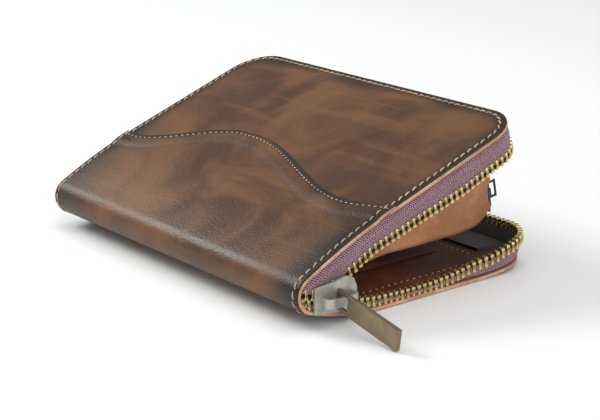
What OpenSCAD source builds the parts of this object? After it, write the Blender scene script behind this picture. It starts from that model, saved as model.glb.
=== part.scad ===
// Zip-around wallet in burnished leather, lying on its bottom cover with the zip run
// back to the spine and the top cover standing open.
//
// +X runs along the spine to the end where the slider is parked, +Y from the spine to
// the opening side, +Z up. The origin is on the table, under the middle of the bottom
// cover. All lengths are millimetres.

/* [Wallet] */
// Length along the spine
body_w = 145; // [135:1:155]
// Depth of the bottom cover, spine to opening side
body_d = 100; // [92:1:108]
// Corner radius on the opening side
corner_r = 14; // [10:1:18]
// Angle that the top cover stands open at rest
open_angle = 19.5; // [18:0.5:24]

/* [Leather] */
// Thickness of the outer leather
leather_t = 1.6; // [1.2:0.1:1.8]
// Thickness of the inner leather panels
panel_t = 0.9; // [0.7:0.1:0.9]
// Outer radius of the rounded spine
nose_r = 6.5; // [6:0.1:7]

/* [Zip] */
// Distance between two teeth on one tape
pitch = 2.33; // [2.2:0.01:2.5]
// Depth of the tooth heads below the outside of the top cover
upper_row_depth = 9.8; // [9:0.1:10.5]
// Distance of the zip rows inside the leather edge
row_inset = 1.2; // [1:0.1:1.6]

/* [Puller] */
// Length of the puller from the bridge to its tip
puller_l = 26.2; // [22:0.1:27]
// Width of the puller bar
puller_w = 6.8; // [5.5:0.1:7]
// Thickness of the puller bar
puller_t = 1.7; // [1.4:0.1:2]

/* [Coin pouch] */
// Length of the pouch along the spine
pouch_w = 124; // [110:1:128]
// Depth of the pouch from its fold to its zip
pouch_d = 81; // [70:1:82]
// Distance between two teeth of the pouch zip
coin_pitch = 2.0; // [1.8:0.1:2.4]

/* [Hidden] */
$fn = 48;
eps = 0.01;

// Side view, measured from the outside of the spine (y) and the table (z).
nose_y = 7.2;
nose_z = 11;
bottom_lean = 15.3;   // angle at which the bottom leather leaves the rounded spine
top_lean = 29;        // angle at which the top leather leaves it
flat_start = 34;      // the bottom cover lies flat from here ...
flat_end = 74;        // ... to here, and its edge curls up a little beyond
side_steps = [15, 19, 23, 27, 31, 34, 74, 80, 85, 90, 95];
sag_y = nose_y - nose_r * sin(bottom_lean);
sag_z = nose_z - nose_r * cos(bottom_lean);
sag = sag_z / pow(flat_start - sag_y, 2);
curl = 0.0045;

// The top cover has its own frame: u runs along the flat part, v is depth below it.
arch_end = 36;
arch = tan(top_lean - open_angle) / (2 * arch_end);
arch_drop = arch * pow(arch_end, 2);
cover_y = nose_y + nose_r * cos(90 + top_lean) - arch_drop * sin(open_angle);
cover_z = nose_z + nose_r * sin(90 + top_lean) + arch_drop * cos(open_angle);
cover_d = body_d - 3.6;

// The top cover turns about a line inside the bent leather at the top of the spine.
hinge_phi = 150;
hinge_y = nose_y + (nose_r - leather_t / 2) * cos(hinge_phi);
hinge_z = nose_z + (nose_r - leather_t / 2) * sin(hinge_phi);
knuckle_r = 0.95;
knuckle_gap = 0.2;

// Layers, as distances in from the outer face of a cover.
board_in = leather_t + 0.05;
board_out = board_in + 0.5;
lining_in = board_out + 0.05;
lining_out = lining_in + 0.4;
lining_inset = 2.6;    // the upper lining ends clear of the teeth
slider_room = 4.8;     // the layers on the bottom cover end clear of the slider's inner plate
panel_in = lining_out + 0.05;
panel_out = panel_in + panel_t;
panel_inset = 3;
pocket_t = 0.6;
pocket_w = 96;
pocket_d = 54;         // depth of the outermost card pocket ...
pocket_step = 13;      // ... and how much shorter each one over it is
seam_bottom = flat_start; // seam between spine leather and bottom panel
edge_flange = 9;       // width of zip tape sewn in between leather and lining
tape_t = 0.5;
tape_z = 0.4;
tape_start = 13;       // where the tapes begin, from the spine

// Zip rows. Heights of the lower tooth heads above the table, by distance from the spine.
row_x = body_w / 2 - row_inset;
row_r = corner_r - row_inset;
lower_heads = [
    [3, 8.4], [11.5, 8], [16.5, 5.3], [24, 4.6], [32, 3.5], [45, 3.1], [55, 3.2],
    [62, 3.7], [71, 5], [79, 6.3], [86, 8.2], [92, 10], [100, 10.6]
];
meshed_heads = [[3, 10.5], [11.5, 10.5], [16.5, 12.9], [25, 15.2]];
tooth_h = 2.8;         // height of one tooth
tooth_l = 1.15;        // along the row
tooth_d = 2.2;         // across the tape
first_tooth = 5.4;
meshed_end = 22;       // beyond this the upper teeth belong to the top cover
upper_start = 22;      // where the upper tape leaves the slider, along the cover
far_end = 14;          // both rows end this far from the spine on the far side

// Slider, at the spine end of the near side.
slider_x = body_w / 2 + 0.5;
slider_plate = 1.1;
back_plate_x = row_x - 3.1;
back_plate = 0.9;
bridge_start = 8.3;
bridge_end = 20.7;
bridge_h = 3;
bridge_t = 1;
bridge_reach = 4.3;
pull_y = 13.8;
pull_z = 8.8;
pull_x = slider_x + slider_plate + bridge_reach - bridge_t / 2;
droop = 11;

// Coin pouch, in its own frame: it turns about a fold near the spine at half the angle.
pouch_y = 9;
pouch_z = 10;
pouch_lean = open_angle / 2;
pouch_back = 2.6;      // half thickness at the fold
pouch_front = 5.9;     // half thickness at the zip
coin_row = 3.2;        // the pouch zip's teeth stand this far from the middle
coin_tooth_h = 1.5;
coin_tooth_l = 1.1;
coin_tooth_d = 1.6;
coin_slider_x = pouch_w / 2 - 5;
ring_wire = 0.4;       // radius of the ring's wire

function smooth(t) = let (c = max(0, min(1, t))) c * c * (3 - 2 * c);

// Height of the outside of the bottom cover, y from the spine.
function bottom_z(y) =
    y < flat_start ? sag * pow(flat_start - y, 2)
    : y > flat_end ? curl * pow(y - flat_end, 2)
    : 0;

// Inside of the leather over the table, round the spine too.
function inside_z(y) =
    y < nose_y ? nose_z - sqrt(pow(nose_r - leather_t, 2) - pow(nose_y - y, 2))
    : bottom_z(y) + leather_t;

// Drop of the arched part of the top cover.
function cover_drop(u) = u < arch_end ? arch * pow(arch_end - u, 2) : 0;

// The curved seam across the top cover.
function seam_u(x) =
    30 + 18.5 * smooth((x + 66) / 46) - 16 * smooth((x + 14) / 66) + 4 * smooth((x - 52) / 23);

// Place along a zip row: [x, y, turn], s counted from the spine on the near side.
function row_length(depth, inset) =
    2 * (depth - corner_r) + PI * (corner_r - inset) + body_w - 2 * corner_r;
function row_at(s, depth, inset) =
    let (
        side = depth - corner_r,
        r = corner_r - inset,
        bend = PI * r / 2,
        long = body_w - 2 * corner_r,
        x0 = body_w / 2 - corner_r
    )
    s < side ? [body_w / 2 - inset, s, 0]
    : s < side + bend ? let (a = 90 * (s - side) / bend) [x0 + r * cos(a), side + r * sin(a), a]
    : s < side + bend + long ? [x0 - (s - side - bend), depth - inset, 90]
    : s < side + 2 * bend + long
        ? let (a = 90 + 90 * (s - side - bend - long) / bend) [-x0 + r * cos(a), side + r * sin(a), a]
    : [-body_w / 2 + inset, 2 * side + 2 * bend + long - s, 180];

// ---- frames -------------------------------------------------------------------------

module from_spine() translate([0, -body_d / 2, 0]) children();

module on_cover() from_spine() translate([0, cover_y, cover_z]) rotate([open_angle, 0, 0]) children();

module on_pouch() from_spine() translate([0, pouch_y, pouch_z]) rotate([pouch_lean, 0, 0]) children();

// ---- shared shapes ------------------------------------------------------------------

// Extrudes a side view, drawn as [y, z], along the spine.
module along_spine(w) rotate([90, 0, 90]) linear_extrude(w, center = true) children();

// Plan of a cover: square at the spine, round at the opening side.
module plan(inset, depth) {
    w = body_w / 2 - inset;
    r = corner_r - inset;
    translate([-w, -20]) square([2 * w, depth - corner_r + 20]);
    translate([-w + r, depth - corner_r - eps]) square([2 * w - 2 * r, r + eps]);
    for (side = [-1, 1]) translate([side * (w - r), depth - corner_r]) circle(r);
}

// One sheet of the bottom cover, between two distances in from its outer face.
module bottom_sheet(near, far, y1, y2) {
    ys = concat([y1], [for (y = side_steps) if (y > y1 + 1 && y < y2 - 1) y], [y2]);
    along_spine(body_w + 2)
        polygon(concat(
            [for (y = ys) [y, bottom_z(y) + near]],
            [for (i = [len(ys) - 1:-1:0]) [ys[i], bottom_z(ys[i]) + far]]
        ));
}

module bottom_layer(near, far, y1, y2, inset)
    intersection() {
        bottom_sheet(near, far, y1, y2);
        translate([0, 0, -1]) linear_extrude(30) plan(inset, body_d);
    }

// One sheet of the top cover, in the cover's frame.
module cover_layer(near, far, u1, u2, inset) {
    n = ceil((u2 - u1) / 5);
    us = [for (i = [0:n]) u1 + (u2 - u1) * i / n];
    intersection() {
        along_spine(body_w + 2)
            polygon(concat(
                [for (u = us) [u, -cover_drop(u) - far]],
                [for (i = [n:-1:0]) [us[i], -cover_drop(us[i]) - near]]
            ));
        translate([0, 0, -25]) linear_extrude(30) plan(inset, cover_d);
    }
}

// Part of the ring of leather round the spine.
module nose_arc(phi_1, phi_2) {
    reach = 4 * nose_r;
    steps = 4;
    translate([0, nose_y, nose_z])
        along_spine(body_w)
            intersection() {
                difference() {
                    circle(nose_r);
                    circle(nose_r - leather_t);
                }
                polygon(concat(
                    [[0, 0]],
                    [for (i = [0:steps])
                        let (a = phi_1 + (phi_2 - phi_1) * i / steps) [reach * cos(a), reach * sin(a)]]
                ));
            }
}

module hinge_rod(r) translate([0, hinge_y, hinge_z]) rotate([0, 90, 0]) cylinder(h = body_w, r = r, center = true);

// Region of the top cover on the spine side of the curved seam.
module yoke_plan() {
    n = 29;
    polygon(concat(
        [for (i = [0:n]) let (x = -body_w / 2 - 1 + (body_w + 2) * i / n) [x, seam_u(x)]],
        [[body_w / 2 + 1, -20], [-body_w / 2 - 1, -20]]
    ));
}

module tooth() translate([-tooth_d / 2, -tooth_l / 2, -tooth_h / 2]) cube([tooth_d, tooth_l, tooth_h]);

module stitch(l) translate([-0.3, -l / 2, -0.3]) cube([0.6, l, 0.6]);

// A card pocket: a leather strip with its mouth towards the opening side.
module pocket_sheet(k) square([pocket_w, pocket_d - pocket_step * k]);

// ---- bottom cover and spine (fixed) -------------------------------------------------

module bottom_panel()
    color("saddlebrown") from_spine() bottom_layer(0, leather_t, seam_bottom, body_d, 0);

module spine_leather()
    color("sienna") from_spine() difference() {
        union() {
            bottom_layer(0, leather_t, sag_y, seam_bottom, 0);
            nose_arc(hinge_phi + 2, 270 - bottom_lean);
        }
        hinge_rod(knuckle_r + knuckle_gap);
    }

module bottom_board()
    color("tan") from_spine() bottom_layer(board_in, board_out, 14, body_d - edge_flange - 1.5, edge_flange + 1.5);

module bottom_lining()
    color("black") from_spine() bottom_layer(lining_in, lining_out, 11, body_d - slider_room, slider_room);

// Brown panel over the lining, cut back along the opening side so the lining shows.
module lower_inner_panel()
    color("saddlebrown") from_spine() difference() {
        bottom_layer(panel_in, panel_out, 12, body_d - slider_room, slider_room);
        translate([0, 0, -1]) linear_extrude(20) {
            for (side = [-1, 1]) translate([side * 49.5, 95.5]) circle(6);
            translate([-49.5, 89.5]) square([99, 20]);
            translate([-55.5, 95.5]) square([111, 20]);
        }
    }

module lower_card_pocket(k)
    color("sienna") from_spine() intersection() {
        bottom_sheet(panel_out + 0.05 + k * (pocket_t + 0.05), panel_out + 0.05 + k * (pocket_t + 0.05) + pocket_t, 20, 80);
        translate([-pocket_w / 2, 24, 0]) linear_extrude(20) pocket_sheet(k);
    }

module lower_card_pocket_1() lower_card_pocket(0);

module lower_card_pocket_2() lower_card_pocket(1);

module lower_card_pocket_3() lower_card_pocket(2);

// Zip tape: a flange sewn in under the lining, and a wall that stands up to the teeth.
module lower_tape() {
    steps = 17;
    ys = [for (i = [0:steps]) tape_start + (body_d - tape_start) * i / steps];
    color("rosybrown") from_spine() {
        difference() {
            bottom_layer(board_in, board_in + tape_z, tape_start, body_d - row_inset, row_inset);
            translate([0, 0, -1]) linear_extrude(20) plan(edge_flange, body_d);
        }
        intersection() {
            linear_extrude(20) difference() {
                plan(row_inset - tape_t / 2, body_d);
                plan(row_inset + tape_t / 2, body_d);
            }
            along_spine(body_w)
                polygon(concat(
                    [for (y = ys) [y, bottom_z(y) + board_in + tape_z / 2]],
                    [for (i = [steps:-1:0]) [ys[i], max(
                        lookup(ys[i], lower_heads) - tooth_h / 2,
                        bottom_z(ys[i]) + board_in + 2 * tape_z
                    )]]
                ));
        }
    }
}

module lower_teeth() {
    total = row_length(body_d, row_inset);
    count = floor((total - far_end - first_tooth) / pitch);
    color("darkkhaki") from_spine()
        for (i = [0:count - 1]) {
            p = row_at(first_tooth + i * pitch, body_d, row_inset);
            translate([p[0], p[1], lookup(p[1], lower_heads)]) rotate(p[2]) tooth();
        }
}

// Upper teeth that stay meshed between the spine and the slider, and those inside it.
module meshed_teeth()
    color("darkkhaki") from_spine()
        for (s = [first_tooth - pitch / 2:pitch:meshed_end])
            translate([row_x, s, lookup(s, meshed_heads)]) tooth();

// The closed end of the tape behind the meshed teeth, up to the top leather.
module meshed_tape()
    color("rosybrown") from_spine()
        translate([row_x, 0, 0]) along_spine(tape_t)
            polygon([[3.2, 11.9], [11.5, 11.9], [16.5, 14.3], [20, 15.2], [16, 15.4], [9.5, 14.4], [4.6, 13.6]]);

module lower_stop()
    color("darkkhaki") from_spine()
        translate([-row_x, far_end - 1.2, lookup(far_end, lower_heads) - 0.2]) cube([2.4, 2, 2.4], center = true);

module bottom_thread() {
    total = row_length(body_d, 3.2);
    color("burlywood") from_spine()
        for (s = [12:3.3:total - 12]) {
            p = row_at(s, body_d, 3.2);
            translate([p[0], p[1], bottom_z(p[1]) + 0.31]) rotate(p[2]) stitch(2.3);
        }
}

// ---- top cover ----------------------------------------------------------------------

module top_yoke()
    color("sienna") {
        on_cover() intersection() {
            cover_layer(0, leather_t, 0, 60, 0);
            translate([0, 0, -25]) linear_extrude(30) yoke_plan();
        }
        from_spine() {
            nose_arc(90 + top_lean, hinge_phi - 2);
            hinge_rod(knuckle_r);
        }
    }

module top_panel()
    color("saddlebrown") on_cover() difference() {
        cover_layer(0, leather_t, 20, cover_d, 0);
        translate([0, 0, -25]) linear_extrude(30) yoke_plan();
    }

module top_board()
    color("tan") on_cover() cover_layer(board_in, board_out, 12, cover_d - edge_flange - 1.5, edge_flange + 1.5);

module top_lining()
    color("black") on_cover() cover_layer(lining_in, lining_out, 10, cover_d - lining_inset, lining_inset);

module upper_inner_panel()
    color("saddlebrown") on_cover() cover_layer(panel_in, panel_out, 11, cover_d - panel_inset, panel_inset);

module upper_card_pocket(k)
    color("sienna") on_cover() intersection() {
        near = panel_out + 0.05 + k * (pocket_t + 0.05);
        cover_layer(near, near + pocket_t, 15, 80, 10);
        translate([-pocket_w / 2, 22, -20]) linear_extrude(20) pocket_sheet(k);
    }

module upper_card_pocket_1() upper_card_pocket(0);

module upper_card_pocket_2() upper_card_pocket(1);

module upper_card_pocket_3() upper_card_pocket(2);

module upper_tape()
    color("rosybrown") on_cover() {
        difference() {
            cover_layer(board_in, board_in + tape_z, tape_start, cover_d - row_inset, row_inset);
            translate([0, 0, -25]) linear_extrude(30) plan(edge_flange, cover_d);
        }
        intersection() {
            translate([0, 0, -25]) linear_extrude(30) difference() {
                plan(row_inset - tape_t / 2, cover_d);
                plan(row_inset + tape_t / 2, cover_d);
            }
            cover_layer(board_in, upper_row_depth - tooth_h / 2, tape_start - 1, cover_d, 0);
            union() {
                translate([0, upper_start, -20]) cube([body_w, body_d, 40]);
                translate([-body_w, tape_start - 1, -20]) cube([body_w, body_d, 40]);
            }
        }
    }

module upper_teeth() {
    total = row_length(cover_d, row_inset);
    start = upper_start + 1;
    count = floor((total - far_end - start) / pitch);
    color("darkkhaki") on_cover()
        for (i = [0:count - 1]) {
            p = row_at(start + i * pitch, cover_d, row_inset);
            translate([p[0], p[1], -upper_row_depth - cover_drop(p[1])]) rotate(p[2]) tooth();
        }
}

module upper_stop()
    color("darkkhaki") on_cover()
        translate([-row_x, far_end - 1.4, -upper_row_depth - cover_drop(far_end) + 0.2]) cube([2.4, 2, 2.4], center = true);

module top_thread() {
    total = row_length(cover_d, 3.2);
    color("burlywood") on_cover()
        for (s = [4:3.3:total - 4]) {
            p = row_at(s, cover_d, 3.2);
            translate([p[0], p[1], -cover_drop(p[1])]) rotate(p[2]) stitch(2.3);
        }
}

module seam_thread()
    color("burlywood") on_cover()
        for (x = [-body_w / 2 + 6:2.7:body_w / 2 - 6]) {
            slope = atan((seam_u(x + 0.5) - seam_u(x - 0.5)));
            u = seam_u(x) + 2.4 / cos(slope);
            translate([x, u, -cover_drop(u)]) rotate(slope + 90) stitch(1.9);
        }

// ---- slider and puller --------------------------------------------------------------

// Face of the slider: narrow where the meshed teeth leave it, flared at its mouth.
module slider_face(trim) {
    tail = 6.2 + trim;
    nose = 22.3 - trim;
    polygon([
        [tail, 5.2 + trim], [tail + 0.6, 4.8 + trim], [12.5, 4.4 + trim], [18.8, 3.5 + trim], [21.2, 4.6 + trim],
        [nose, 7.4], [nose, 11.2], [21.2, 13.9 - trim], [18.6, 15 - trim], [12.5, 14 - trim],
        [tail + 0.6, 13.4 - trim], [tail, 13 - trim]
    ]);
}

module slider_body()
    color("slategray") from_spine() {
        translate([slider_x + slider_plate / 2, 0, 0]) along_spine(slider_plate) slider_face(0);
        translate([back_plate_x + back_plate / 2, 0, 0]) along_spine(back_plate) slider_face(1.2);
        // the post between the two rows holds the plates together
        translate([back_plate_x + back_plate, 16.6, 7.3])
            cube([slider_x - back_plate_x - back_plate, 4.8, 2.1]);
    }

// Loop on the slider's face that the puller hangs from.
module slider_bridge() {
    span = bridge_end - bridge_start;
    r = 2.6;
    color("slategray") from_spine()
        translate([slider_x + slider_plate, bridge_start, pull_z - bridge_h / 2])
            linear_extrude(bridge_h) difference() {
                union() {
                    square([bridge_reach - r, span]);
                    translate([0, r]) square([bridge_reach, span - 2 * r]);
                    for (y = [r, span - r]) translate([bridge_reach - r, y]) circle(r);
                }
                translate([-eps, bridge_t]) union() {
                    square([bridge_reach - r, span - 2 * bridge_t]);
                    translate([0, r - bridge_t])
                        square([bridge_reach - bridge_t + eps, span - 2 * r]);
                    for (y = [r - bridge_t, span - r - bridge_t])
                        translate([bridge_reach - r, y]) circle(r - bridge_t);
                }
                translate([-5, -5]) square([5, span + 10]);
            }
}

// Flat bar standing on edge, with an eye that goes round the bridge.
module puller() {
    eye_near = 2.7;
    eye_l = 4.3;
    eye_w = 4.4;
    eye_t = 1.2;
    color("darkgoldenrod") from_spine()
        translate([pull_x, pull_y, pull_z]) rotate([0, droop, 0])
            difference() {
                union() {
                    translate([-eye_near, -eye_t / 2, -puller_w / 2]) cube([eye_l + 4, eye_t, puller_w]);
                    translate([5, -puller_t / 2, -puller_w / 2]) cube([puller_l - 5, puller_t, puller_w]);
                }
                translate([-eye_near + 1.1, -5, -eye_w / 2]) cube([eye_l, 10, eye_w]);
            }
}

// ---- coin pouch ---------------------------------------------------------------------

// Side view of one half of the pouch: back fold, face, and the lip at the zip.
module pouch_half(dir)
    along_spine(pouch_w)
        polygon([
            [1, dir * 0.4], [1, dir * pouch_back], [pouch_d - 1, dir * pouch_front],
            [pouch_d, dir * (pouch_front - 0.6)], [pouch_d, dir * 5], [pouch_d - 1, dir * 5],
            [2, dir * (pouch_back - panel_t)], [2, dir * 0.4]
        ]);

module coin_lower_panel() color("peru") on_pouch() pouch_half(-1);

module coin_upper_panel() color("peru") on_pouch() pouch_half(1);

// The pouch is closed at both ends by soft leather.
module coin_end_panels()
    color("peru") on_pouch()
        for (side = [-1, 1])
            translate([side * (pouch_w / 2 + 0.4), 0, 0])
                along_spine(0.8)
                    polygon([[1, -pouch_back], [1, pouch_back], [pouch_d - 1, pouch_front], [pouch_d - 1, -pouch_front]]);

module coin_tape(dir)
    color("rosybrown") on_pouch()
        translate([-pouch_w / 2, pouch_d - 1, dir > 0 ? coin_row + coin_tooth_h / 2 : -5])
            cube([pouch_w, 0.5, 5 - coin_row - coin_tooth_h / 2]);

module coin_lower_tape() coin_tape(-1);

module coin_upper_tape() coin_tape(1);

module coin_row_teeth(dir, shift)
    color("darkkhaki") on_pouch()
        for (x = [-pouch_w / 2 + 2 + shift:coin_pitch:pouch_w / 2 - 2])
            translate([x, pouch_d - 0.75, dir * coin_row])
                cube([coin_tooth_l, coin_tooth_d, coin_tooth_h], center = true);

module coin_lower_teeth() coin_row_teeth(-1, 0);

module coin_upper_teeth() coin_row_teeth(1, coin_pitch / 2);

// Small slider of the pouch zip: front and back plates, joined between the rows.
module coin_slider()
    color("dimgray") on_pouch() translate([coin_slider_x, pouch_d - 0.75, 0]) difference() {
        union() {
            translate([0, 1.6, 0]) cube([8, 0.8, 8.4], center = true);
            translate([0, -1.6, 0]) cube([8, 0.8, 7.6], center = true);
            cube([3, 3, 3], center = true);
            translate([1, 2.9, 0]) cube([3.2, 1.9, 2.6], center = true);
        }
        translate([1, 3, 0]) cylinder(h = 10, r = 0.55, center = true);
    }

// Wire ring on the small slider.
module coin_ring() {
    color("dimgray") on_pouch() translate([coin_slider_x + 1, pouch_d + 2.25, 0]) {
        cylinder(h = 6, r = ring_wire, center = true);
        for (side = [-1, 1]) translate([0, 0, side * 2.6]) rotate([-90, 0, 0]) cylinder(h = 4, r = ring_wire);
        translate([0, 4, 0]) cylinder(h = 6, r = ring_wire, center = true);
    }
}

bottom_panel();
spine_leather();
bottom_board();
bottom_lining();
lower_inner_panel();
lower_card_pocket_1();
lower_card_pocket_2();
lower_card_pocket_3();
lower_tape();
lower_teeth();
meshed_teeth();
meshed_tape();
lower_stop();
bottom_thread();
top_yoke();
top_panel();
top_board();
top_lining();
upper_inner_panel();
upper_card_pocket_1();
upper_card_pocket_2();
upper_card_pocket_3();
upper_tape();
upper_teeth();
upper_stop();
top_thread();
seam_thread();
slider_body();
slider_bridge();
puller();
coin_lower_panel();
coin_upper_panel();
coin_end_panels();
coin_lower_tape();
coin_upper_tape();
coin_lower_teeth();
coin_upper_teeth();
coin_slider();
coin_ring();
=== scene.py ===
import bpy, bmesh, math
from mathutils import Matrix, Vector, noise


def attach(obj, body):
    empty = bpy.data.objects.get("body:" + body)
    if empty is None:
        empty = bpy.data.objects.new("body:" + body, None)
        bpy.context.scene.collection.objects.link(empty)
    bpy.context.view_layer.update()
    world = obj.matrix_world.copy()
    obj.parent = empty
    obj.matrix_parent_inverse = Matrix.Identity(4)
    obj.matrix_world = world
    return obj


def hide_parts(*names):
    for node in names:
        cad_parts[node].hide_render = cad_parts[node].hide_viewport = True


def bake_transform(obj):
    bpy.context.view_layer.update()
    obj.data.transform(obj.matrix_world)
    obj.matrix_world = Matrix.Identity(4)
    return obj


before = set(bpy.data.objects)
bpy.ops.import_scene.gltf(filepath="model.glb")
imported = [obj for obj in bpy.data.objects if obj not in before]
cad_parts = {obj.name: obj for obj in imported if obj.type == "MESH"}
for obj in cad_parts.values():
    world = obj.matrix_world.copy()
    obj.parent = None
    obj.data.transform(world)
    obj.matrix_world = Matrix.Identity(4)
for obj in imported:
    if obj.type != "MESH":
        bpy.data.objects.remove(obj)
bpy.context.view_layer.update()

# ---- Studio: camera, table and lights ------------------------------------------------
# The wallet stands on a plain white table under large soft lights, seen from the
# slider's end, a little above the table.
scene = bpy.context.scene
scene.view_settings.view_transform = "Standard"
camera = bpy.data.objects.new("camera", bpy.data.cameras.new("camera"))
scene.collection.objects.link(camera)
scene.camera = camera
camera.data.sensor_width = 36
camera.data.lens = 104.37
camera.data.clip_start = 0.01
turn, tip, roll = 0.92377, 0.29365, -0.02209
forward = Vector((-math.sin(turn) * math.cos(tip), math.cos(turn) * math.cos(tip), -math.sin(tip)))
level = Vector((math.cos(turn), math.sin(turn), 0))
upright = level.cross(forward)
right = math.cos(roll) * level + math.sin(roll) * upright
up = math.cos(roll) * upright - math.sin(roll) * level
view_turn = Matrix((right, up, -forward)).transposed().to_4x4()
camera.matrix_world = Matrix.Translation((0.4635, -0.3430, 0.1869)) @ view_turn

table = bpy.data.objects.new("table", bpy.data.meshes.new("table"))
scene.collection.objects.link(table)
table.data.from_pydata([(-6, -6, 0), (6, -6, 0), (6, 6, 0), (-6, 6, 0)], [], [(0, 1, 2, 3)])
paper = bpy.data.materials.new("table_paper")
paper.use_nodes = True
coating = paper.node_tree.nodes["Principled BSDF"].inputs
coating["Base Color"].default_value = (0.93, 0.93, 0.93, 1)
coating["Roughness"].default_value = 0.9
table.data.materials.append(paper)

scene.world = bpy.data.worlds.new("studio")
scene.world.use_nodes = True
sky = scene.world.node_tree.nodes["Background"].inputs
sky["Color"].default_value = (0.97, 0.985, 1, 1)
sky["Strength"].default_value = 0.42


def softbox(name, place, size, watts, tint=(1, 1, 1)):
    """A square lamp of the given width that points at the middle of the table."""
    lamp = bpy.data.objects.new(name, bpy.data.lights.new(name, "AREA"))
    scene.collection.objects.link(lamp)
    lamp.data.shape = "RECTANGLE"
    lamp.data.size = lamp.data.size_y = size
    lamp.data.energy = watts
    lamp.data.color = tint
    lamp.location = place
    lamp.rotation_euler = (-Vector(place)).to_track_quat("-Z", "Y").to_euler()


softbox("window", (-0.76, -0.36, 0.6), 0.42, 6.5, (0.93, 1, 0.96))
softbox("overhead", (0.15, 0.1, 1.1), 1.0, 4.4)
softbox("front_fill", (0.95, -0.3, 0.42), 0.7, 4.6, (1, 0.98, 0.95))

# ---- Bottom cover ----------------------------------------------------------------------
# The underside of the wallet is cut from 1.6 mm brown leather, burnished near black
# along its edges. It lies on the table and its opening side curls up a little.
half_length, body_depth, corner = 72.5, 100.0, 14.0
corner_steps = 16
leather = 1.6
nose_y, nose_z, nose_r = 7.2, 11.0, 6.5
open_angle, bottom_lean, top_lean = math.radians(19.5), math.radians(15.3), math.radians(29)
sag_y = nose_y - nose_r * math.sin(bottom_lean)
bottom_seam = 34
curl_start, curl = 74, 0.0045
sag = (nose_z - nose_r * math.cos(bottom_lean)) / (bottom_seam - sag_y) ** 2
nose_length = nose_r * (1.5 * math.pi - bottom_lean - (math.pi / 2 + top_lean))


def at(x, y, z):
    """A place in the shared frame, from millimetres, y counted from the spine."""
    return Vector((x, y - 50, z)) * 0.001


def smooth(t):
    t = max(0.0, min(1.0, t))
    return t * t * (3 - 2 * t)


def bottom_height(y):
    """Height of the underside: it rises to the spine, lies flat, and curls up at the opening side."""
    if y < bottom_seam:
        return sag * (bottom_seam - y) ** 2
    return curl * (y - curl_start) ** 2 if y > curl_start else 0.0


def bottom_skin(x, y):
    slope = 2 * sag * (y - bottom_seam) if y < bottom_seam else 2 * curl * (y - curl_start) if y > curl_start else 0.0
    return Vector((x, y, bottom_height(y))), Vector((0, slope, -1)).normalized()


def edge_gap(x, y, depth):
    """How far in a place on a cover is from its cut edge."""
    dx, dy = abs(x) - (half_length - corner), y - (depth - corner)
    if dx > 0 and dy > 0:
        return corner - math.hypot(dx, dy)
    return min(half_length - abs(x), depth - y)


def across(width_at, steps=96):
    """Places across a sheet, closer together at both ends."""
    length = 2 * half_length
    ends = [0.0, 0.2, 0.5, 0.9, 1.5, 2.3]
    inner = [ends[-1] + (length - 2 * ends[-1]) * i / steps for i in range(1, steps)]
    spots = ends + inner + [length - e for e in reversed(ends)]
    return [(s / half_length - 1) * width_at for s in spots]


def corner_rows(depth, first, step=1.5):
    """Rows of a cover from first to its opening side: depth and half length of each."""
    straight = max(2, round((depth - corner - first) / step))
    rows = [(first + (depth - corner - first) * i / straight, half_length) for i in range(straight)]
    for i in range(corner_steps + 1):
        a = math.pi / 2 * i / corner_steps
        rows.append((depth - corner + corner * math.sin(a), half_length - corner + corner * math.cos(a)))
    return rows


def new_piece(name, mesh, finishes, smooth_angle=40):
    piece = bpy.data.objects.new(name, mesh)
    scene.collection.objects.link(piece)
    for finish in finishes:
        mesh.materials.append(finish)
    mesh.polygons.foreach_set("use_smooth", [True] * len(mesh.polygons))
    mesh.set_sharp_from_angle(angle=math.radians(smooth_angle))
    return piece


def settle(piece, body, slot, *stands_for, flex=None):
    """Puts a piece on its body and hides the CAD parts it stands for; a piece given a flex is not put on its body and
    only has its transform baked. The slot is not used.
    """
    if flex:
        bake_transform(piece)
    else:
        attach(piece, body)
    if stands_for:
        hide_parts(*stands_for)


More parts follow.
